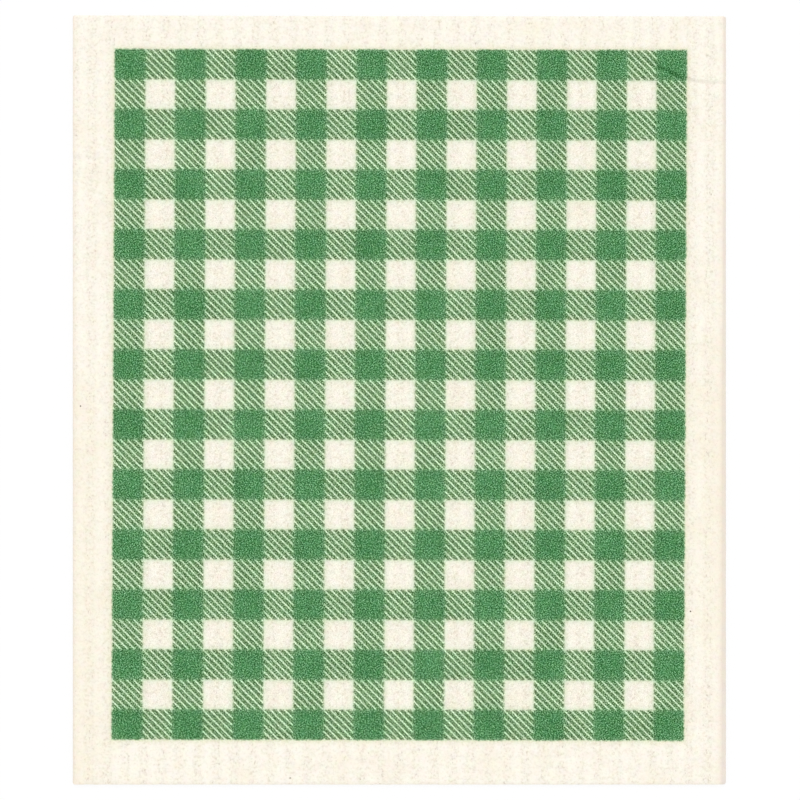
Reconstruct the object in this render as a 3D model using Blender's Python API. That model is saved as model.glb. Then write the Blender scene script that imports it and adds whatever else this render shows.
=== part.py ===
# Sponge cloth: one piece cut from a web of ribbed cellulose sponge, with a gingham print.
# Metres, +Z up. The cloth lies flat on its underside with the printed face up, its width
# along X and its length along Y. The origin is under the middle of the cut outline.

import math

import bmesh
import bpy
from mathutils import Matrix, Vector

# The cut piece
CLOTH_WIDTH = 0.170
CLOTH_LENGTH = 0.200
CORNER_RADIUS = 0.0006
CORNER_STEPS = 3

# The web: long ribs along Y, crest over crest on its two faces
WEB_THICKNESS = 0.0019
RIB_PITCH = 0.00472
GROOVE_DEPTH = 0.0003
GROOVE_FLOOR = 0.0016
RIB_FLANK = 0.0005
WEB_LEAN = 0.0048

# The print, whose columns run along the ribs
CHECK_WIDTH = 0.00782
CHECK_LENGTH = 0.00778
CHECK_COLUMNS = 19
CHECK_ROWS = 23
PRINT_CENTRE_X = -0.00013
PRINT_CENTRE_Y = 0.0014

# Points of a print line that lie closer than this to a rib's edge are on it
MERGE_DISTANCE = 1e-7

# Steepness above which a face belongs to the upper, printed side
UPWARD = 0.5

# Colours, with the roughness of dry sponge and of the ink on it
CLOTH_COLOUR = (0.96, 0.915, 0.79, 1.0)
INK_COLOUR = (0.093, 0.265, 0.107, 1.0)
HATCH_COLOUR = (0.30, 0.45, 0.256, 1.0)
CLOTH_ROUGHNESS = 0.95
INK_ROUGHNESS = 0.9


def clear_scene():
    for thing in list(bpy.data.objects):
        bpy.data.objects.remove(thing)


def make_material(name, colour, roughness):
    material = bpy.data.materials.new(name)
    material.use_nodes = True
    shader = material.node_tree.nodes["Principled BSDF"]
    shader.inputs["Base Color"].default_value = colour
    shader.inputs["Roughness"].default_value = roughness
    shader.inputs["Metallic"].default_value = 0.0
    material.diffuse_color = colour
    return material


def link_object(name, mesh):
    thing = bpy.data.objects.new(name, mesh)
    bpy.context.scene.collection.objects.link(thing)
    return thing


def rib_profile(half_width):
    """Points of one face across the ribs, as (x, depth under the crest), from a groove
    beyond -half_width to a groove beyond +half_width. A groove runs through x = 0."""
    grooves = math.ceil(half_width / RIB_PITCH)
    points = []
    for number in range(-grooves, grooves + 1):
        middle = number * RIB_PITCH
        points.append((middle - GROOVE_FLOOR / 2 - RIB_FLANK, 0.0))
        points.append((middle - GROOVE_FLOOR / 2, GROOVE_DEPTH))
        points.append((middle + GROOVE_FLOOR / 2, GROOVE_DEPTH))
        points.append((middle + GROOVE_FLOOR / 2 + RIB_FLANK, 0.0))
    return points


def lean(x, y):
    """Where a line of the web that passes (x, 0) has got to at y."""
    return x + WEB_LEAN * y


def make_web():
    """The ribbed web: its section, drawn across the ribs, extruded along them and leaned.
    It runs at least one rib past the cut on every side."""
    half_length = CLOTH_LENGTH / 2 + RIB_PITCH
    half_width = CLOTH_WIDTH / 2 + RIB_PITCH + abs(lean(0.0, half_length))
    profile = rib_profile(half_width)
    web = bmesh.new()
    upper = [web.verts.new((x, -half_length, WEB_THICKNESS - depth)) for x, depth in profile]
    lower = [web.verts.new((x, -half_length, depth)) for x, depth in profile]
    section = web.faces.new(lower + upper[::-1])
    swept = bmesh.ops.extrude_face_region(web, geom=[section])["geom"]
    end = [item for item in swept if isinstance(item, bmesh.types.BMVert)]
    bmesh.ops.translate(web, vec=(0.0, 2 * half_length, 0.0), verts=end)
    shear = Matrix.Identity(4)
    shear[0][1] = WEB_LEAN
    bmesh.ops.transform(web, matrix=shear, verts=web.verts)
    bmesh.ops.recalc_face_normals(web, faces=web.faces)
    return web


def printed_faces(web):
    return [face for face in web.faces if face.normal.z > UPWARD]


def divide_printed_face(web, point, normal):
    """Draws one line of the print on the upper face, where the plane through point cuts it."""
    faces = printed_faces(web)
    edges = dict.fromkeys(edge for face in faces for edge in face.edges)
    verts = dict.fromkeys(vert for face in faces for vert in face.verts)
    geometry = faces + list(edges) + list(verts)
    bmesh.ops.bisect_plane(web, geom=geometry, plane_co=point, plane_no=normal,
                           dist=MERGE_DISTANCE)


def print_edge(count, size, centre):
    """The first line of a row of count checks, each of one size, set about centre."""
    return centre - count * size / 2


def print_checks(web):
    """Divides the upper face into checks and gives each its field of colour."""
    left = print_edge(CHECK_COLUMNS, CHECK_WIDTH, PRINT_CENTRE_X)
    bottom = print_edge(CHECK_ROWS, CHECK_LENGTH, PRINT_CENTRE_Y)
    across = Vector((1.0, -WEB_LEAN, 0.0)).normalized()
    for column in range(CHECK_COLUMNS + 1):
        divide_printed_face(web, (left + column * CHECK_WIDTH, 0.0, 0.0), across)
    for row in range(CHECK_ROWS + 1):
        divide_printed_face(web, (0.0, bottom + row * CHECK_LENGTH, 0.0), (0.0, 1.0, 0.0))
    for face in printed_faces(web):
        middle = face.calc_center_median()
        column = math.floor((middle.x - lean(left, middle.y)) / CHECK_WIDTH)
        row = math.floor((middle.y - bottom) / CHECK_LENGTH)
        if 0 <= column < CHECK_COLUMNS and 0 <= row < CHECK_ROWS:
            face.material_index = inked_bands(column, row)


def inked_bands(column, row):
    """How many inked bands pass over a check: every second column and every second row is
    one, from the corners on. One band is hatched, and two that cross are solid."""
    return (column % 2 == 0) + (row % 2 == 0)


def outline_points():
    """The cut outline, anticlockwise, with a small round at each corner."""
    inner_x = CLOTH_WIDTH / 2 - CORNER_RADIUS
    inner_y = CLOTH_LENGTH / 2 - CORNER_RADIUS
    points = []
    for quarter, (side_x, side_y) in enumerate(((1, 1), (-1, 1), (-1, -1), (1, -1))):
        for step in range(CORNER_STEPS + 1):
            angle = (quarter + step / CORNER_STEPS) * math.pi / 2
            x = side_x * inner_x + CORNER_RADIUS * math.cos(angle)
            y = side_y * inner_y + CORNER_RADIUS * math.sin(angle)
            points.append((x, y))
    return points


def make_blade():
    """The block of space inside the blade that cuts the piece from the web. It reaches as
    far past each face of the web as the web is thick."""
    blade = bmesh.new()
    floor = [blade.verts.new((x, y, -WEB_THICKNESS)) for x, y in outline_points()]
    face = blade.faces.new(floor)
    raised = bmesh.ops.extrude_face_region(blade, geom=[face])["geom"]
    top = [item for item in raised if isinstance(item, bmesh.types.BMVert)]
    bmesh.ops.translate(blade, vec=(0.0, 0.0, 3 * WEB_THICKNESS), verts=top)
    bmesh.ops.recalc_face_normals(blade, faces=blade.faces)
    mesh = bpy.data.meshes.new("blade")
    blade.to_mesh(mesh)
    blade.free()
    cutter = link_object("blade", mesh)
    cutter.hide_render = True
    cutter.display_type = "WIRE"
    return cutter


def add_looks(mesh):
    """The slots are in order of how many inked bands pass: none, one and two."""
    mesh.materials.append(make_material("cellulose_sponge", CLOTH_COLOUR, CLOTH_ROUGHNESS))
    mesh.materials.append(make_material("hatched_green_ink", HATCH_COLOUR, INK_ROUGHNESS))
    mesh.materials.append(make_material("solid_green_ink", INK_COLOUR, INK_ROUGHNESS))


def make_cloth():
    web = make_web()
    print_checks(web)
    mesh = bpy.data.meshes.new("sponge_cloth")
    web.to_mesh(mesh)
    web.free()
    add_looks(mesh)
    cloth = link_object("sponge_cloth", mesh)
    cut = cloth.modifiers.new("cut_to_size", "BOOLEAN")
    cut.operation = "INTERSECT"
    cut.solver = "EXACT"
    cut.object = make_blade()
    return cloth


clear_scene()
make_cloth()
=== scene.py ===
# Sponge cloth with a gingham print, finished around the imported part.
# Metres, +Z up: the cloth lies flat with its print up and its ribs along Y.
import math

import bpy
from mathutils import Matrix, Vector, noise


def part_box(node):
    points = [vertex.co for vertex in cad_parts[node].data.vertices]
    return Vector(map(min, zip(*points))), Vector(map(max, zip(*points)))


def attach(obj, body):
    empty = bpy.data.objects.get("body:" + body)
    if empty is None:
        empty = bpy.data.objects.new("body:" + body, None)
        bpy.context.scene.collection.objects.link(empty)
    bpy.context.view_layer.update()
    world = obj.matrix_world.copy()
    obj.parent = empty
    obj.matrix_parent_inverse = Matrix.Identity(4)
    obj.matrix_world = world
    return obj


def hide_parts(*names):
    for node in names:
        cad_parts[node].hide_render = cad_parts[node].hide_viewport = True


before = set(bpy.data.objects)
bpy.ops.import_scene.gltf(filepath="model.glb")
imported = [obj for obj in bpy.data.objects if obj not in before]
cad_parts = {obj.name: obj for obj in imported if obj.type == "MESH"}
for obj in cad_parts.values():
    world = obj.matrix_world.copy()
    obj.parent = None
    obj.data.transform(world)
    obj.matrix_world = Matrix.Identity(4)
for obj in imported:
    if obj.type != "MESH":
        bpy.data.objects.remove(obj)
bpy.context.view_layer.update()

clothLow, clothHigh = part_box("sponge_cloth")
mm = 1000                       # millimetres in a metre
eyeGamma = 2.2                  # of the even scale that colours are mixed on
noiseRoughness = 0.6
noiseSpan = (0.2, 0.8)          # where nearly all of a noise lies
print("frame loaded, the cloth is", [round(side * mm, 1) for side in clothHigh - clothLow], "mm")


# helpers for shapes

def smoothStep(start, end, value):
    share = min(max((value - start) / (end - start), 0.0), 1.0)
    return share * share * (3 - 2 * share)


def wave(x, y, name):
    # smooth noise from about -1 to 1, by the size of its humps and its seed
    size, seed = web["waves"][name]
    return noise.noise(Vector((x / size, y / size, seed)))


# helpers for materials

def eye(red, green, blue):
    # a colour as a screen shows it, in steps of 0 to 255, on the even scale for mixing
    def straighten(step):
        # by the numbers that define a screen's curve
        share = step / 255
        light = share / 12.92 if share <= 0.04045 else ((share + 0.055) / 1.055) ** 2.4
        return light ** (1 / eyeGamma)
    return straighten(red), straighten(green), straighten(blue), 1.0


def addNode(tree, kind, inputs, **settings):
    node = tree.nodes.new(kind)
    for name, value in settings.items():
        setattr(node, name, value)
    for socket, value in inputs.items():
        if isinstance(value, bpy.types.NodeSocket):
            tree.links.new(value, node.inputs[socket])
        else:
            node.inputs[socket].default_value = value
    return node


def calc(tree, operation, *values):
    inputs = dict(enumerate(values))
    return addNode(tree, "ShaderNodeMath", inputs, operation=operation).outputs[0]


def plus(tree, total, *others):
    for other in others:
        total = calc(tree, "ADD", total, other)
    return total


def times(tree, product, *others):
    for other in others:
        product = calc(tree, "MULTIPLY", product, other)
    return product


def vectorCalc(tree, operation, first, second):
    inputs = {0: first, "Scale" if operation == "SCALE" else 1: second}
    node = addNode(tree, "ShaderNodeVectorMath", inputs, operation=operation)
    return node.outputs["Value" if operation == "DISTANCE" else "Vector"]


def apart(tree, vector):
    # its outputs X, Y and Z
    return addNode(tree, "ShaderNodeSeparateXYZ", {0: vector}).outputs


def alike(tree, value):
    # a vector with the same number three times
    return addNode(tree, "ShaderNodeCombineXYZ", {0: value, 1: value, 2: value}).outputs[0]


def ramp(tree, value, start, end, low=0.0, high=1.0):
    # goes softly from low to high as the value goes from start to end
    inputs = {"Value": value, "From Min": start, "From Max": end, "To Min": low, "To Max": high}
    node = addNode(tree, "ShaderNodeMapRange", inputs, interpolation_type="SMOOTHSTEP")
    return node.outputs["Result"]


def grain(tree, place, size, detail=0.0, output="Fac", spread="3D"):
    # noise with humps of this size, in the unit of the place
    inputs = {"Vector": place, "Scale": 1 / size, "Detail": detail, "Roughness": noiseRoughness}
    return addNode(tree, "ShaderNodeTexNoise", inputs, noise_dimensions=spread).outputs[output]


def colourGrain(tree, place, size, detail):
    # noise of its own in each channel, about 0
    noisy = grain(tree, place, size, detail, "Color")
    return vectorCalc(tree, "SUBTRACT", noisy, (0.5, 0.5, 0.5))


def blend(tree, share, first, second):
    inputs = {0: share, 6: first, 7: second}
    return addNode(tree, "ShaderNodeMix", inputs, data_type="RGBA", clamp_factor=True).outputs[2]


def trait(tree, name, output="Fac"):
    # what the mesh carries at each point under this name
    return addNode(tree, "ShaderNodeAttribute", {}, attribute_name=name).outputs[output]


def emptyMaterial(name):
    material = bpy.data.materials.new(name)
    material.use_nodes = True
    material.node_tree.nodes.clear()
    return material, material.node_tree


# the sponge, cast in ribs and cut to size
web = {
    "width": clothHigh.x - clothLow.x,
    "length": clothHigh.y - clothLow.y,
    "thickness": clothHigh.z - clothLow.z,
    "ribPitch": 0.00472,
    "grooveDepth": 0.0003,
    "grooveFloor": 0.0013,      # flat part of a groove, across
    "grooveMouth": 0.0034,      # across a groove, from crest to crest
    "lean": 0.0047,             # how far the ribs run sideways for each unit of length
    "ribWander": 0.0001,
    "ribApart": 0.0731,         # how far apart in the noise two ribs wander
    "ribUneven": 0.25,          # share by which a groove's depth changes along it
    "lumpHeight": 0.00004,
    "lumpShares": (0.65, 0.35),     # of the broad and the fine lumps
    "cornerRadius": 0.0006,
    "edgePress": 0.0005,        # the blade left the cut edge this much lower
    "edgeReach": 0.0011,        # and pressed the face this far in
    "edgeRagged": 0.00012,
    "raggedReach": 0.0016,
    "biteSlant": (0.003, 0.002),    # how the bites in a cut side change from top to bottom
    "underPress": 0.0002,
    "endSkew": 0.00026,         # the far end is cut this much out of square
    "rightTrim": 0.00015,       # and the right side this much short
    "trimPower": 6,             # the higher, the closer to the edge these two happen
    "leanPower": 8,             # and the closer to a side the ribs' lean is given up
    "waves": {                  # size of the humps, and seed
        "rib": (0.009, 2.1),
        "groove": (0.011, 5.5),
        "broadLump": (0.008, 1.3),
        "fineLump": (0.0026, 8.1),
        "underLump": (0.006, 4.4),
        "ragged": (0.0013, 6.2),
        "bite": (0.0009, 9.7),
    },
    # painted shade on a cut's rim: how dark it is, between which depths it fades, and along which
    # stretch it sets in
    "soiled": {
        "left": ((0.48, 0.0, 0.0008), (0.1, 0.0003, 0.0017), (0.14, 0.0003, 0.0021, 0.05, 0.0)),
        "right": (
            (0.6, 0.0006, 0.0011), (0.3, 0.0002, 0.0027),
            (0.26, 0.0005, 0.0044, 0.062, 0.042), (0.2, 0.0006, 0.0022, 0.03, 0.0),
            (0.25, 0.0008, 0.0019, 0.03, 0.0),
        ),
        "near": ((0.12, 0.0, 0.0012),),
        "far": ((0.0, 0.0, 0.001),),
    },
    "aged": {                   # where handling yellowed the sides: share, middle, reach along
        "left": (0.19, -0.064, 0.092),
        "right": (0.18, -0.027, 0.06),
    },
    "agedReach": (0.0015, 0.014),   # full this far in from the cut, and ends there
    "rim": (0.0, 0.0001, 0.00025, 0.00048, 0.0008, 0.0012),    # rows close to a cut
    "upperStep": (0.00059, 0.00096),    # the grid's steps across and along
    "underStep": (0.00059, 0.003),
    "sideRings": 4,
}
halfWidth = web["width"] / 2
halfLength = web["length"] / 2

# how the piece is laid out flat for its maps: the face with its sides folded out, and
# the underside beside it in three strips, in pixels of a square map
layout = {
    "side": 1024,
    "upperScale": 5000,         # pixels a metre
    "upperMiddle": (437.5, 512),
    "underScale": 1950,
    "underStart": (880, 5),
    "underGap": 8,
    "strips": 3,
}

# creases, each a run of points with how deep it is at each
creased = {
    "routes": (
        (
            (0.0533, 0.0914, 0.1), (0.0585, 0.0890, 0.25), (0.0632, 0.0888, 0.45),
            (0.0655, 0.0874, 1.0), (0.0676, 0.0863, 1.0), (0.0704, 0.0852, 0.9),
            (0.0723, 0.0840, 1.0), (0.0762, 0.0830, 0.55), (0.0780, 0.0826, 0.5),
            (0.0850, 0.0825, 0.25),
        ),
        ((-0.0850, 0.0632, 0.2), (-0.0791, 0.0628, 0.2), (-0.0739, 0.0635, 0.05)),
    ),
    "reach": 0.004,             # how far from a crease anything of it is felt
    "dent": 0.0001,             # how far the face sinks along it
    "dentReach": 0.0018,
    "line": (0.0001, 0.0008),   # half its width: where its painted shade is full and where it ends
    "dark": 0.1,
    "lit": (0.0004, 0.0008, 0.0015),    # a painted highlight, the paler lip on its near side: start, middle and end
    "pale": 0.035,
    "lineDepth": 0.12,          # of the bump, in millimetres
    "wander": 0.0006,
}

# dark flecks caught in the sponge: place, radius and how dark each is
flecked = {
    "spots": (
        (0.07554, -0.0549, 0.00019, 1.0), (-0.08285, -0.0016, 0.00019, 0.95),
        (-0.0284, -0.0982, 0.00024, 0.45), (0.0654, 0.0484, 0.0002, 0.45),
        (0.0189, -0.0139, 0.00016, 0.6),
    ),
    "soft": 0.3,                # share of its radius over which a fleck fades, each way
    "colour": eye(105, 98, 82),
}

# the print: inked columns and rows that cross in solid checks
printed = {
    "checkWidth": 0.007816,
    "checkLength": 0.007793,
    "columns": 19,
    "rows": 23,
    "middle": (-0.0001, 0.001327),
    "bow": 0.00024,             # the middle columns lie this far right of even places
    "lean": 0.00473,
    "rowTilt": 0.00205,
    "hatchPitch": 0.001841,     # from line to line, across
    "hatchShift": 0.00001,
    "lineCore": 0.05,           # bare line in the hatching, in shares of its pitch
    "lineEdge": 0.25,
    "spread": 0.0015,           # how far ink ran past each check, in checks
    "outerSpread": 0.013,       # and past the whole print
    "edgeSoft": 0.04,
    "fadePower": 3.0,           # how steeply stains and thin ink fade from an edge
    "ragged": 0.00022,
    "raggedSize": 0.0005,
    "solid": eye(74, 134, 81),
    "hatched": eye(103.5, 139, 93),
    "line": eye(206, 234, 196),
    "grain": (0.92, 0.82, 0.5),     # how uneven the hatched ink, the solid ink and the lines are
    "bareGrain": 0.14,          # and the bare checks
    "grainSize": 0.00029,
    "grainTurn": 0.6,
    "cloud": 0.1,               # wider, fainter unevenness of the ink
    "cloudSize": 0.0012,
    "thin": (0.06, 0.015, 0.036),   # ink is this much paler at an edge, and stains the far side
    "thinReach": 0.34,
    "halo": eye(222, 226, 187),     # the faint stain on bare sponge
    "haloShare": (0.33, 0.55),      # in the bare checks, and around the print
    "haloReach": (0.27, 0.3),       # in checks, from the same two
    "haloGrain": 3.0,               # how uneven this stain is
    "haze": eye(238, 235, 214),     # ink dust on the bare checks
    "hazeShare": 0.17,
}

# the sponge's own colour and pores
foam = {
    "cream": eye(254.5, 249.5, 237),
    "groove": eye(252.5, 247, 234),
    # a little darker down in the grooves: partly painted shade, partly their more open pores
    "mottle": eye(212, 202, 182),
    "warm": eye(251, 244, 227),
    "speck": eye(208, 196, 184),
    # painted shade on the cut rims, where it is deep and where it is faint
    "rim": eye(235, 225, 213),
    "warmRimShade": eye(245, 229, 212),
    "aged": eye(243, 229, 196),
    "patchSize": 0.009,
    "patchWarm": (0.45, 0.75),  # of the noise, where a patch turns warm and is so fully
    "patchInk": 0.12,           # how far the ink's strength follows these patches
    "tint": 0.06,               # small changes of colour
    "tintSize": 0.002,
    "mottleShare": (0.58, 0.95),    # on a rib's crest, and down in a groove
    "mottleInPrint": 0.37,          # and this much more in the bare checks
    "mottleSize": 0.0007,
    "mottleRange": (0.4, 1.0),
    "speckSize": 0.0006,
    "speckStretch": 0.6,        # specks run along the ribs
    "speckStart": (0.65, 0.56),     # of the noise, on a rib's crest and down in a groove
    "speckFull": 0.85,
    "poreShade": eye(214, 203, 184),     # painted shade in the open pores of a cut
    "cutPoreSize": 0.0006,
    "cutPoreRange": (0.5, 0.66),
    "cutPoreShare": 0.6,
    "cutPoreDepth": 0.1,        # millimetres, as are the other depths and heights
    "poreSize": 0.0011,
    "poreWidth": (0.1, 0.45),   # from its floor to its rim, in shares of its size
    "poreDepth": 0.05,
    "nubSize": 0.0008,
    "nubHeight": 0.05,
    "fuzzSize": 0.00025,
    "fuzzHeight": 0.02,
    "roughness": (0.88, 0.98),
    "gloss": 0.2,
}


def grooveShare(x, y):
    # 0 on a rib's crest, 1 on the floor of a groove
    across = (x - web["lean"] * y) / web["ribPitch"]
    nearest = round(across)
    away = abs(across - nearest) * web["ribPitch"]
    away += web["ribWander"] * wave(nearest * web["ribApart"], y, "rib")
    return 1 - smoothStep(web["grooveFloor"] / 2, web["grooveMouth"] / 2, away)


def grooveDepthAt(x, y):
    return web["grooveDepth"] * (1 + web["ribUneven"] * wave(x, y, "groove"))


def pressShare(fromEdge):
    # 1 at the cut, falling to 0 in a quarter round
    inward = min(fromEdge / web["edgeReach"], 1.0)
    return 1 - math.sqrt(1 - (1 - inward) ** 2)


def nearestCrease(x, y):
    # how far the nearest crease is, more than 0 on its far side, and how deep it is there
    nearest, share = creased["reach"], 0.0
    for route in creased["routes"]:
        for (startX, startY, startShare), (endX, endY, endShare) in zip(route, route[1:]):
            stepX, stepY = endX - startX, endY - startY
            along = ((x - startX) * stepX + (y - startY) * stepY) / (stepX ** 2 + stepY ** 2)
            along = min(max(along, 0.0), 1.0)
            away = math.hypot(x - startX - along * stepX, y - startY - along * stepY)
            if away < abs(nearest):
                nearest = math.copysign(away, stepX * (y - startY) - stepY * (x - startX))
                share = startShare + along * (endShare - startShare)
    return nearest, share


def upperHeight(x, y, fromEdge):
    broad, fine = web["lumpShares"]
    lumps = broad * wave(x, y, "broadLump") + fine * wave(x, y, "fineLump") - 1
    height = web["thickness"] - grooveDepthAt(x, y) * grooveShare(x, y)
    crease, share = nearestCrease(x, y)
    height -= creased["dent"] * share * (1 - smoothStep(0.0, creased["dentReach"], abs(crease)))
    return height + web["lumpHeight"] * lumps - web["edgePress"] * pressShare(fromEdge)


def underHeight(x, y, fromEdge):
    lumps = 0.5 * wave(x, y, "underLump") + 0.5
    height = grooveDepthAt(x, -y) * grooveShare(x, y)
    return height + web["lumpHeight"] * lumps + web["underPress"] * pressShare(fromEdge)


def roundCorner(x, y):
    # draws the square corners of the grid in to small rounds
    radius = web["cornerRadius"]
    over = max(abs(x) - halfWidth + radius, 0.0) / radius
    up = max(abs(y) - halfLength + radius, 0.0) / radius
    if over > 0 and up > 0:
        x = math.copysign(halfWidth - radius + radius * over * math.sqrt(1 - up * up / 2), x)
        y = math.copysign(halfLength - radius + radius * up * math.sqrt(1 - over * over / 2), y)
    return x, y


def cutPlace(column, row):
    # where a point of the even grid lies on the cut cloth, and how far in from the cut
    fromEdge = min(halfWidth - abs(column), halfLength - abs(row))
    nearEdge = 1 - smoothStep(0.0, web["raggedReach"], fromEdge)
    ragged = web["edgeRagged"] * nearEdge * (0.5 + 0.5 * wave(column, row, "ragged"))
    x, y = roundCorner(column, row)
    withRibs = 1 - (abs(x) / halfWidth) ** web["leanPower"]
    fromRight = 0.5 - x / web["width"]
    skew = web["endSkew"] * (1 - fromRight * fromRight) * max(y / halfLength, 0.0) ** web["trimPower"]
    x = x * (1 - ragged / halfWidth) + web["lean"] * y * withRibs
    x -= web["rightTrim"] * max(x / halfWidth, 0.0) ** web["trimPower"]
    y = y * (1 - ragged / halfLength) - skew
    return x, y, fromEdge


def paintedRimShadeShare(column, row):
    # how much of the painted shade on a cut's rim a point of the face shows, from none to 1
    away = {
        "left": column + halfWidth,
        "right": halfWidth - column,
        "near": row + halfLength,
        "far": halfLength - row,
    }
    shares = []
    for side, bands in web["soiled"].items():
        share = 0.0
        for dark, start, end, *along in bands:
            dark *= smoothStep(*along, row) if along else 1.0
            share += dark * (1 - smoothStep(start, end, away[side]))
        shares.append(share)
    return max(shares)


def agedShare(column, row):
    # how much of the yellow of handling a point of the face shows
    side = "left" if column < 0 else "right"
    share, middle, reach = web["aged"][side]
    share *= 1 - smoothStep(reach / 3, reach, abs(row - middle))    # even in its middle third
    fullAt, endsAt = web["agedReach"]
    fromCut = halfWidth - abs(column)
    return share * smoothStep(0.0, fullAt, fromCut) * (1 - smoothStep(fullAt, endsAt, fromCut))


def gridLines(half, step):
    # places from -half to half, close together at both cuts
    rim = web["rim"]
    inner = half - rim[-1]
    count = round(2 * inner / step)
    outer = [half - place for place in rim[:-1]]
    middle = [-inner + 2 * inner * number / count for number in range(count + 1)]
    return [-place for place in outer] + middle + outer[::-1]


def outline(columns, rows):
    # the grid's outer points in order, anticlockwise from above
    lastColumn, lastRow = len(columns) - 1, len(rows) - 1
    near = [(i, 0) for i in range(lastColumn)]
    right = [(lastColumn, j) for j in range(lastRow)]
    far = [(i, lastRow) for i in range(lastColumn, 0, -1)]
    left = [(0, j) for j in range(lastRow, 0, -1)]
    return near + right + far + left


def outwardStep(spot, columns, rows):
    # which way the cut faces at an outer point of the grid
    i, j = spot
    sideways = (i == len(columns) - 1) - (i == 0)
    lengthways = (j == len(rows) - 1) - (j == 0)
    return sideways, lengthways


def roundTheEdge(spots, columns, rows):
    # how far along the outline each outer point lies
    lengths = [0.0]
    for (i, j), (nextI, nextJ) in zip(spots, spots[1:]):
        step = abs(columns[nextI] - columns[i]) + abs(rows[nextJ] - rows[j])
        lengths.append(lengths[-1] + step)
    return lengths


def addPoint(cloth, x, y, z, rim, onPrint=0.0, onCut=0.0):
    cloth["points"].append((x, y, z))
    cloth["groove"].append(grooveShare(x, y))
    cloth["rim"].append(rim)
    cloth["aged"].append(agedShare(x, y))
    crease, share = nearestCrease(x, y)
    cloth["crease"].append(crease * mm)
    cloth["creaseDepth"].append(share * onPrint)
    cloth["onPrint"].append(onPrint)
    cloth["onCut"].append(onCut)
    return len(cloth["points"]) - 1


def addFace(cloth, corners):
    # corners are pairs of a point's number and its place on the map
    cloth["faces"].append([point for point, _ in corners])
    cloth["mapped"].extend(place for _, place in corners)


def mapUpper(x, y):
    middleX, middleY = layout["upperMiddle"]
    across = middleX + x * layout["upperScale"]
    up = middleY + y * layout["upperScale"]
    return across / layout["side"], up / layout["side"]


def mapUnder(x, y, strip):
    startX, startY = layout["underStart"]
    scale = layout["underScale"]
    stripLength = web["length"] / layout["strips"]
    across = startX + (y + halfLength - strip * stripLength) * scale
    up = startY + strip * (web["width"] * scale + layout["underGap"]) + (x + halfWidth) * scale
    return across / layout["side"], up / layout["side"]


def addUpperFace(cloth, columns, rows):
    numbers = {}
    for j, row in enumerate(rows):
        for i, column in enumerate(columns):
            x, y, fromEdge = cutPlace(column, row)
            z = upperHeight(x, y, fromEdge)
            numbers[i, j] = addPoint(cloth, x, y, z, paintedRimShadeShare(column, row), onPrint=1.0)
    for j in range(len(rows) - 1):
        for i in range(len(columns) - 1):
            square = ((i, j), (i + 1, j), (i + 1, j + 1), (i, j + 1))
            places = [mapUpper(columns[a], rows[b]) for a, b in square]
            addFace(cloth, [(numbers[spot], place) for spot, place in zip(square, places)])
    return numbers


def addUnderside(cloth, columns, rows):
    numbers = {}
    for j, row in enumerate(rows):
        for i, column in enumerate(columns):
            x, y, fromEdge = cutPlace(column, row)
            z = underHeight(x, y, fromEdge)
            numbers[i, j] = addPoint(cloth, x, y, z, paintedRimShadeShare(column, row))
    for j in range(len(rows) - 1):
        rowMiddle = (rows[j] + rows[j + 1]) / 2
        strip = int((rowMiddle + halfLength) / web["length"] * layout["strips"])
        for i in range(len(columns) - 1):
            square = ((i, j), (i, j + 1), (i + 1, j + 1), (i + 1, j))
            places = [mapUnder(columns[a], rows[b], strip) for a, b in square]
            addFace(cloth, [(numbers[spot], place) for spot, place in zip(square, places)])
    return numbers


def addCutSide(cloth, columns, rows, numbers):
    # rings of points down the cut, each a list of numbers and places on the map
    spots = outline(columns, rows)
    rings = [[(numbers[i, j], mapUpper(columns[i], rows[j])) for i, j in spots]]
    slantX, slantY = web["biteSlant"]
    for step in range(1, web["sideRings"] + 1):
        drop = step / (web["sideRings"] + 1)
        ring = []
        for i, j in spots:
            sideways, lengthways = outwardStep((i, j), columns, rows)
            x, y, z = cloth["points"][numbers[i, j]]
            fall = drop * (z - underHeight(x, y, 0.0))
            bite = web["edgeRagged"] * (wave(x + drop * slantX, y + drop * slantY, "bite") - 1) / 2
            x += sideways * bite
            y += lengthways * bite
            number = addPoint(cloth, x, y, z - fall, paintedRimShadeShare(columns[i], rows[j]), onCut=1.0)
            ring.append((number, mapUpper(columns[i] + sideways * fall, rows[j] + lengthways * fall)))
        rings.append(ring)
    for upper, lower in zip(rings, rings[1:]):
        for here in range(len(spots)):
            after = (here + 1) % len(spots)
            addFace(cloth, [upper[here], lower[here], lower[after], upper[after]])
    return rings[-1]


def closeBelow(cloth, ring, ringLengths, foot, footLengths):
    # triangles between the lowest ring and the underside's edge, whose points are fewer
    wholeWay = 2 * (web["width"] + web["length"])
    ringLengths = ringLengths + [wholeWay]
    footLengths = footLengths + [wholeWay]
    here, there = 0, 0
    while here < len(ring) or there < len(foot):
        upper, lower = ring[here % len(ring)], foot[there % len(foot)]
        ringDone, footDone = here == len(ring), there == len(foot)
        if footDone or (not ringDone and ringLengths[here + 1] <= footLengths[there + 1]):
            here += 1
            addFace(cloth, [upper, lower, ring[here % len(ring)]])
        else:
            there += 1
            addFace(cloth, [upper, lower, foot[there % len(foot)]])


def footPlaces(cloth, columns, rows, numbers):
    # the underside's outer points, with their places beside the folded-out sides
    places = []
    for spot in outline(columns, rows):
        i, j = spot
        sideways, lengthways = outwardStep(spot, columns, rows)
        x, y, fromEdge = cutPlace(columns[i], rows[j])
        fall = upperHeight(x, y, fromEdge) - cloth["points"][numbers[spot]][2]
        flat = mapUpper(columns[i] + sideways * fall, rows[j] + lengthways * fall)
        places.append((numbers[spot], flat))
    return places


def printPlace(x, y):
    # millimetres right of and below the print's first check
    middleX, middleY = printed["middle"]
    halfPrint = printed["columns"] * printed["checkWidth"] / 2
    across = x - middleX - printed["lean"] * (y - middleY)
    across += halfPrint - printed["bow"] * max(1 - (across / halfPrint) ** 2, 0.0)
    down = middleY - y - printed["rowTilt"] * (x - middleX)
    down += printed["rows"] * printed["checkLength"] / 2
    return across * mm, down * mm, 0.0


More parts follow.
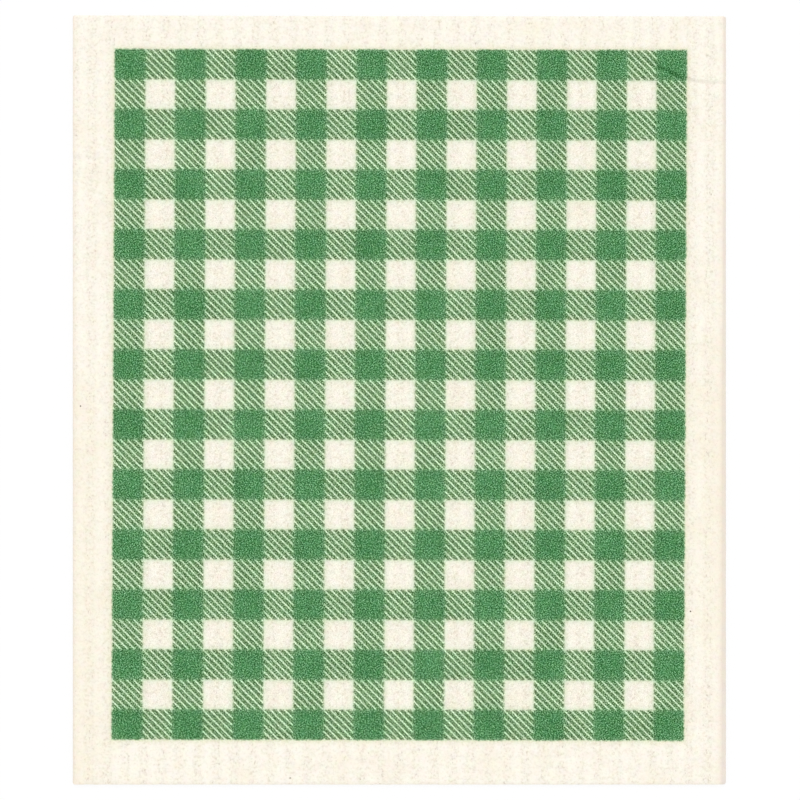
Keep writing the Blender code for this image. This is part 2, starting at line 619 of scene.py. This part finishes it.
def buildCloth():
    cloth = {"points": [], "faces": [], "mapped": []}
    traits = ("groove", "rim", "aged", "crease", "creaseDepth", "onPrint", "onCut")
    cloth.update({name: [] for name in traits})
    upperColumns = gridLines(halfWidth, web["upperStep"][0])
    upperRows = gridLines(halfLength, web["upperStep"][1])
    underColumns = gridLines(halfWidth, web["underStep"][0])
    underRows = gridLines(halfLength, web["underStep"][1])
    upper = addUpperFace(cloth, upperColumns, upperRows)
    lowest = addCutSide(cloth, upperColumns, upperRows, upper)
    under = addUnderside(cloth, underColumns, underRows)
    foot = footPlaces(cloth, underColumns, underRows, under)
    ringLengths = roundTheEdge(outline(upperColumns, upperRows), upperColumns, upperRows)
    footLengths = roundTheEdge(outline(underColumns, underRows), underColumns, underRows)
    closeBelow(cloth, lowest, ringLengths, foot, footLengths)

    mesh = bpy.data.meshes.new("gingham_sponge_cloth")
    mesh.from_pydata(cloth["points"], [], cloth["faces"])
    mesh.shade_smooth()
    flat = mesh.uv_layers.new(name="OFBake")
    flat.data.foreach_set("uv", [number for place in cloth["mapped"] for number in place])
    for name in traits:
        mesh.attributes.new(name, "FLOAT", "POINT").data.foreach_set("value", cloth[name])
    places = [number for x, y, _ in cloth["points"] for number in printPlace(x, y)]
    mesh.attributes.new("printPlace", "FLOAT_VECTOR", "POINT").data.foreach_set("vector", places)
    print("cloth made with", len(mesh.vertices), "points and", len(mesh.polygons), "faces")
    return mesh


def fading(tree, value, start, reach):
    # 1 up to the start, then steeply and ever more gently down to 0
    left = calc(tree, "DIVIDE", calc(tree, "SUBTRACT", start + reach, value), reach)
    left = addNode(tree, "ShaderNodeClamp", {"Value": left}).outputs[0]
    return calc(tree, "POWER", left, printed["fadePower"])


def inkedBand(tree, place, size, count):
    # 1 on every other band across the print, and how much of this lies inside it
    number = calc(tree, "DIVIDE", place, size * mm)
    half = 0.5 + printed["spread"]
    soft = printed["edgeSoft"]
    innerReach, outerReach = printed["haloReach"]
    fromBand = calc(tree, "PINGPONG", calc(tree, "SUBTRACT", number, 0.5), 1.0)
    band = ramp(tree, fromBand, half - soft, half + soft, 1.0, 0.0)
    fromMiddle = calc(tree, "ABSOLUTE", calc(tree, "SUBTRACT", number, count / 2))
    reach = count / 2 + printed["outerSpread"]
    inside = ramp(tree, fromMiddle, reach - soft, reach + soft, 1.0, 0.0)
    near = fading(tree, fromMiddle, reach, outerReach)
    halo = fading(tree, fromBand, half, innerReach)
    # ink thins out on the inked side of an edge, and there is a little on the other side
    fromEdge = calc(tree, "ABSOLUTE", calc(tree, "SUBTRACT", fromBand, half))
    side = ramp(tree, band, 0.0, 1.0, -1.0, 1.0)
    thin = times(tree, fading(tree, fromEdge, 0.0, printed["thinReach"]), side)
    return {"band": band, "inside": inside, "near": near, "halo": halo, "thin": thin}


def hatchLine(tree, flatPlace):
    # 1 on the slanting bare lines of the hatched checks
    straight = apart(tree, flatPlace)
    checkAcross = calc(tree, "FLOORED_MODULO", straight["X"], printed["checkWidth"] * mm)
    checkDown = calc(tree, "FLOORED_MODULO", straight["Y"], printed["checkLength"] * mm)
    slant = plus(tree, calc(tree, "SUBTRACT", checkAcross, checkDown), printed["hatchShift"] * mm)
    fromLine = calc(tree, "PINGPONG", calc(tree, "DIVIDE", slant, printed["hatchPitch"] * mm), 0.5)
    return ramp(tree, fromLine, printed["lineCore"], printed["lineEdge"], 1.0, 0.0)


def inkShares(tree, flatPlace, wander):
    # how much of each kind of ink is at a point, with ragged edges
    ragged = vectorCalc(tree, "SCALE", wander, 2 * printed["ragged"] * mm)
    inkPlace = apart(tree, vectorCalc(tree, "ADD", flatPlace, ragged))
    across = inkedBand(tree, inkPlace["X"], printed["checkWidth"], printed["columns"])
    down = inkedBand(tree, inkPlace["Y"], printed["checkLength"], printed["rows"])
    onPrint = trait(tree, "onPrint")
    inside = times(tree, across["inside"], down["inside"], onPrint)
    both = times(tree, across["band"], down["band"])
    either = calc(tree, "SUBTRACT", plus(tree, across["band"], down["band"]), both)
    return {
        "inside": inside,
        "near": times(tree, across["near"], down["near"], onPrint),
        "solid": times(tree, both, inside),
        "inked": times(tree, either, inside),
        "line": hatchLine(tree, flatPlace),
        "halo": calc(tree, "MAXIMUM", across["halo"], down["halo"]),
        "thin": times(tree, plus(tree, across["thin"], down["thin"]), inside),
    }


def fineGrain(tree, flatPlace):
    # the finest unevenness of the ink, about 0
    turned = {"Vector": flatPlace, "Angle": printed["grainTurn"]}
    turned = addNode(tree, "ShaderNodeVectorRotate", turned, rotation_type="Z_AXIS").outputs[0]
    fine = grain(tree, turned, printed["grainSize"] * mm, spread="2D")
    return calc(tree, "SUBTRACT", fine, 0.5)


def inkChange(tree, place, ink, fine, patches):
    # how the grain, the clouds and the sponge's patches lighten or darken the print
    hatchedGrain, solidGrain, lineGrain = printed["grain"]
    hatching = ramp(tree, ink["line"], 0.0, 1.0, hatchedGrain, lineGrain)
    depth = ramp(tree, ink["solid"], 0.0, 1.0, hatching, solidGrain)
    clouds = grain(tree, place, printed["cloudSize"] * mm, detail=1.0)
    clouds = times(tree, calc(tree, "SUBTRACT", clouds, 0.5), printed["cloud"])
    broad = times(tree, calc(tree, "SUBTRACT", patches, 0.5), foam["patchInk"])
    onInk = times(tree, plus(tree, times(tree, fine, depth), plus(tree, broad, clouds)), ink["inked"])
    bare = calc(tree, "SUBTRACT", ink["inside"], ink["inked"])
    return alike(tree, plus(tree, onInk, times(tree, fine, bare, printed["bareGrain"])))


def creaseShade(tree, wander):
    # painted shade along the creases and a painted highlight on their near lip, and 1 along their
    # middle
    wander = times(tree, apart(tree, wander)["X"], 2 * creased["wander"] * mm)
    away = plus(tree, trait(tree, "crease"), wander)
    depth = trait(tree, "creaseDepth")
    darkEnd, lineEnd = [place * mm for place in creased["line"]]
    litStart, litFull, litEnd = [-place * mm for place in creased["lit"]]
    # painted shade along the crease's middle
    line = times(tree, ramp(tree, calc(tree, "ABSOLUTE", away), darkEnd, lineEnd, 1.0, 0.0), depth)
    # painted highlight on the lip beside it
    lip = times(tree, ramp(tree, away, litStart, litFull), ramp(tree, away, litEnd, litFull))
    lip = times(tree, lip, depth, creased["pale"])
    change = calc(tree, "SUBTRACT", lip, times(tree, line, creased["dark"]))
    return alike(tree, change), line


def fleckShare(tree, place):
    # how much of a fleck's colour shows, from none to 1
    flat = vectorCalc(tree, "MULTIPLY", place, (1.0, 1.0, 0.0))
    share = 0.0
    for x, y, radius, dark in flecked["spots"]:
        away = vectorCalc(tree, "DISTANCE", flat, (x * mm, y * mm, 0.0))
        inner = (1 - flecked["soft"]) * radius * mm
        outer = (1 + flecked["soft"]) * radius * mm
        share = calc(tree, "MAXIMUM", share, ramp(tree, away, inner, outer, dark, 0.0))
    return times(tree, share, trait(tree, "onPrint"))


def spongeNoise(tree, place):
    # patches, specks and the open pores of the cut sides, which more than one finish follows
    stretched = vectorCalc(tree, "MULTIPLY", place, (1.0, foam["speckStretch"], 1.0))
    cutPores = grain(tree, place, foam["cutPoreSize"] * mm, detail=2.0)
    return {
        "patches": grain(tree, place, foam["patchSize"] * mm, detail=4.0),
        "specks": grain(tree, stretched, foam["speckSize"] * mm, detail=2.0),
        "cutPores": times(tree, ramp(tree, cutPores, *foam["cutPoreRange"]), trait(tree, "onCut")),
    }


def bareColour(tree, place, sponge, ink):
    # cream with warm patches, mottling, specks, partly painted shade in the grooves, painted shade on
    # the cut rims and in the cut's pores, and yellowed sides
    groove = trait(tree, "groove")
    rim = trait(tree, "rim")
    # darker in the grooves: partly painted shade, partly their more open pores
    colour = blend(tree, groove, foam["cream"], foam["groove"])
    colour = blend(tree, ramp(tree, sponge["patches"], *foam["patchWarm"]), colour, foam["warm"])
    mottle = grain(tree, place, foam["mottleSize"] * mm, detail=3.0)
    mottleShare = ramp(tree, groove, 0.0, 1.0, *foam["mottleShare"])
    mottleShare = plus(tree, mottleShare, times(tree, ink["near"], foam["mottleInPrint"]))
    mottle = times(tree, ramp(tree, mottle, *foam["mottleRange"]), mottleShare)
    colour = blend(tree, mottle, colour, foam["mottle"])
    speckStart = ramp(tree, groove, 0.0, 1.0, *foam["speckStart"])
    speckShare = ramp(tree, sponge["specks"], speckStart, foam["speckFull"])
    colour = blend(tree, speckShare, colour, foam["speck"])
    # the painted shade on the cut rims, warmer where it is faint and greyer where it is deep
    colour = blend(tree, rim, colour, blend(tree, rim, foam["warmRimShade"], foam["rim"]))
    colour = blend(tree, trait(tree, "aged"), colour, foam["aged"])
    # painted shade in the open pores of the cut sides
    return blend(tree, times(tree, sponge["cutPores"], foam["cutPoreShare"]), colour, foam["poreShade"])


def stainedColour(tree, colour, ink, fine):
    # the bare sponge with a haze of ink on it, and a stain beside each inked edge
    colour = blend(tree, times(tree, ink["near"], printed["hazeShare"]), colour, printed["haze"])
    checkShare, outerShare = printed["haloShare"]
    halo = ramp(tree, ink["inside"], 0.0, 1.0, outerShare, times(tree, ink["halo"], checkShare))
    uneven = plus(tree, times(tree, fine, printed["haloGrain"]), 1.0)
    return blend(tree, times(tree, halo, uneven, ink["near"]), colour, printed["halo"])


def inkColour(tree, ink):
    hatched = blend(tree, ink["line"], printed["hatched"], printed["line"])
    return blend(tree, ink["solid"], hatched, printed["solid"])


def spongeBump(tree, place, sponge, creaseLine):
    # pores, nubs and fuzz, in millimetres
    pores = {"Vector": place, "Scale": 1 / mm / foam["poreSize"]}
    pores = addNode(tree, "ShaderNodeTexVoronoi", pores).outputs["Distance"]
    pores = ramp(tree, pores, *foam["poreWidth"], -foam["poreDepth"], 0.0)
    pores = calc(tree, "SUBTRACT", pores, times(tree, sponge["cutPores"], foam["cutPoreDepth"]))
    nubs = times(tree, grain(tree, place, foam["nubSize"] * mm, detail=2.0), foam["nubHeight"])
    fuzz = times(tree, grain(tree, place, foam["fuzzSize"] * mm, detail=1.0), foam["fuzzHeight"])
    relief = plus(tree, pores, nubs, fuzz)
    relief = calc(tree, "SUBTRACT", relief, times(tree, creaseLine, creased["lineDepth"]))
    bump = addNode(tree, "ShaderNodeBump", {"Height": relief, "Distance": 1 / mm, "Strength": 1.0})
    return bump.outputs["Normal"]


def printedSponge():
    material, tree = emptyMaterial("printed_sponge")
    place = addNode(tree, "ShaderNodeTexCoord", {}).outputs["Object"]
    place = vectorCalc(tree, "SCALE", place, mm)
    flatPlace = trait(tree, "printPlace", "Vector")
    wander = colourGrain(tree, place, printed["raggedSize"] * mm, detail=1.0)
    ink = inkShares(tree, flatPlace, wander)
    fine = fineGrain(tree, flatPlace)
    sponge = spongeNoise(tree, place)
    creaseDark, creaseLine = creaseShade(tree, wander)

    colour = stainedColour(tree, bareColour(tree, place, sponge, ink), ink, fine)
    colour = blend(tree, fleckShare(tree, place), colour, flecked["colour"])
    colour = blend(tree, ink["inked"], colour, inkColour(tree, ink))
    uneven = inkChange(tree, place, ink, fine, sponge["patches"])
    thin = vectorCalc(tree, "SCALE", printed["thin"], ink["thin"])
    tint = colourGrain(tree, place, foam["tintSize"] * mm, detail=3.0)
    tint = vectorCalc(tree, "SCALE", tint, foam["tint"])
    for change in (uneven, thin, tint, creaseDark):
        colour = vectorCalc(tree, "ADD", colour, change)

    surface = {
        "Base Color": addNode(tree, "ShaderNodeGamma", {"Color": colour, "Gamma": eyeGamma}).outputs[0],
        "Roughness": ramp(tree, sponge["specks"], *noiseSpan, *foam["roughness"]),
        "Specular IOR Level": foam["gloss"],
        "Normal": spongeBump(tree, place, sponge, creaseLine),
    }
    shader = addNode(tree, "ShaderNodeBsdfPrincipled", surface)
    addNode(tree, "ShaderNodeOutputMaterial", {"Surface": shader.outputs["BSDF"]})
    print("printed sponge made with", len(tree.nodes), "shader nodes")
    return material


mesh = buildCloth()
spongeCloth = bpy.data.objects.new("gingham_sponge_cloth", mesh)
bpy.context.scene.collection.objects.link(spongeCloth)
mesh.materials.append(printedSponge())
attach(spongeCloth, "root")
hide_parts("sponge_cloth")


# floor, light and camera
studio = {
    "floorSide": 6.0,
    "floorDrop": 0.00001,
    "floorGrainSize": 0.002,
    "floorGrain": 0.00002,
    "floorPatchSize": 0.01,
    "floorRoughness": (0.85, 0.95),
    "floorGlow": 0.86,          # share of it seen as plain white, the rest keeps the shadow
    "white": (1.0, 1.0, 1.0, 1.0),
    "fillLight": 0.885,
    "sunLight": 0.53,
    "sunSpread": math.radians(25),
    "sunFrom": (0.05, 0.5, 0.86),
    "focalLength": 135,
    "sensor": 36,
    "fieldWidth": 0.2077,       # what the picture takes in at the height of the ribs
    "cameraShift": (0.00009, -0.000015),
    "clipEnd": 20,
}


def seenRay(tree):
    # 1 for what is looked at, straight or in a gloss or glass, and 0 for what lights
    ray = addNode(tree, "ShaderNodeLightPath", {}).outputs
    seen = calc(tree, "MAXIMUM", ray["Is Camera Ray"], ray["Is Glossy Ray"])
    return calc(tree, "MAXIMUM", seen, ray["Is Transmission Ray"])


def whiteFloor():
    material, tree = emptyMaterial("white_floor")
    place = addNode(tree, "ShaderNodeTexCoord", {}).outputs["Object"]
    height = grain(tree, place, studio["floorGrainSize"], detail=3.0)
    bump = addNode(tree, "ShaderNodeBump", {"Height": height, "Distance": studio["floorGrain"]})
    patches = grain(tree, place, studio["floorPatchSize"], detail=2.0)
    surface = {
        "Base Color": studio["white"],
        "Roughness": ramp(tree, patches, *noiseSpan, *studio["floorRoughness"]),
        "Specular IOR Level": 0.0,
        "Normal": bump.outputs["Normal"],
    }
    shader = addNode(tree, "ShaderNodeBsdfPrincipled", surface)
    plain = addNode(tree, "ShaderNodeEmission", {"Color": studio["white"], "Strength": 1.0})
    share = ramp(tree, seenRay(tree), 0.0, 1.0, 0.0, studio["floorGlow"])
    mixed = {0: share, 1: shader.outputs[0], 2: plain.outputs[0]}
    seen = addNode(tree, "ShaderNodeMixShader", mixed)
    addNode(tree, "ShaderNodeOutputMaterial", {"Surface": seen.outputs[0]})
    return material


def addFloor():
    half = studio["floorSide"] / 2
    corners = [(-half, -half), (half, -half), (half, half), (-half, half)]
    mesh = bpy.data.meshes.new("floor")
    mesh.from_pydata([(x, y, -studio["floorDrop"]) for x, y in corners], [], [(0, 1, 2, 3)])
    mesh.materials.append(whiteFloor())
    floor = bpy.data.objects.new("floor", mesh)
    bpy.context.scene.collection.objects.link(floor)


def addLight():
    # an even white sky, seen as plain white, and a soft sun
    world = bpy.data.worlds.new("studio")
    bpy.context.scene.world = world
    world.use_nodes = True
    tree = world.node_tree
    tree.nodes.clear()
    strength = ramp(tree, seenRay(tree), 0.0, 1.0, studio["fillLight"], 1.0)
    white = addNode(tree, "ShaderNodeBackground", {"Color": studio["white"], "Strength": strength})
    addNode(tree, "ShaderNodeOutputWorld", {"Surface": white.outputs[0]})

    sun = bpy.data.lights.new("sun", "SUN")
    sun.energy = studio["sunLight"]
    sun.angle = studio["sunSpread"]
    lamp = bpy.data.objects.new("sun", sun)
    lamp.location = studio["sunFrom"]
    lamp.rotation_euler = Vector(studio["sunFrom"]).to_track_quat("Z", "Y").to_euler()
    bpy.context.scene.collection.objects.link(lamp)


def addCamera():
    camera = bpy.data.cameras.new("camera")
    camera.lens = studio["focalLength"]
    camera.sensor_width = studio["sensor"]
    camera.clip_end = studio["clipEnd"]
    distance = studio["fieldWidth"] * studio["focalLength"] / studio["sensor"]
    shiftX, shiftY = studio["cameraShift"]
    viewer = bpy.data.objects.new("camera", camera)
    viewer.location = (shiftX, shiftY, web["thickness"] + distance)
    bpy.context.scene.collection.objects.link(viewer)
    bpy.context.scene.camera = viewer


addFloor()
addLight()
addCamera()
bpy.context.scene.view_settings.view_transform = "Standard"
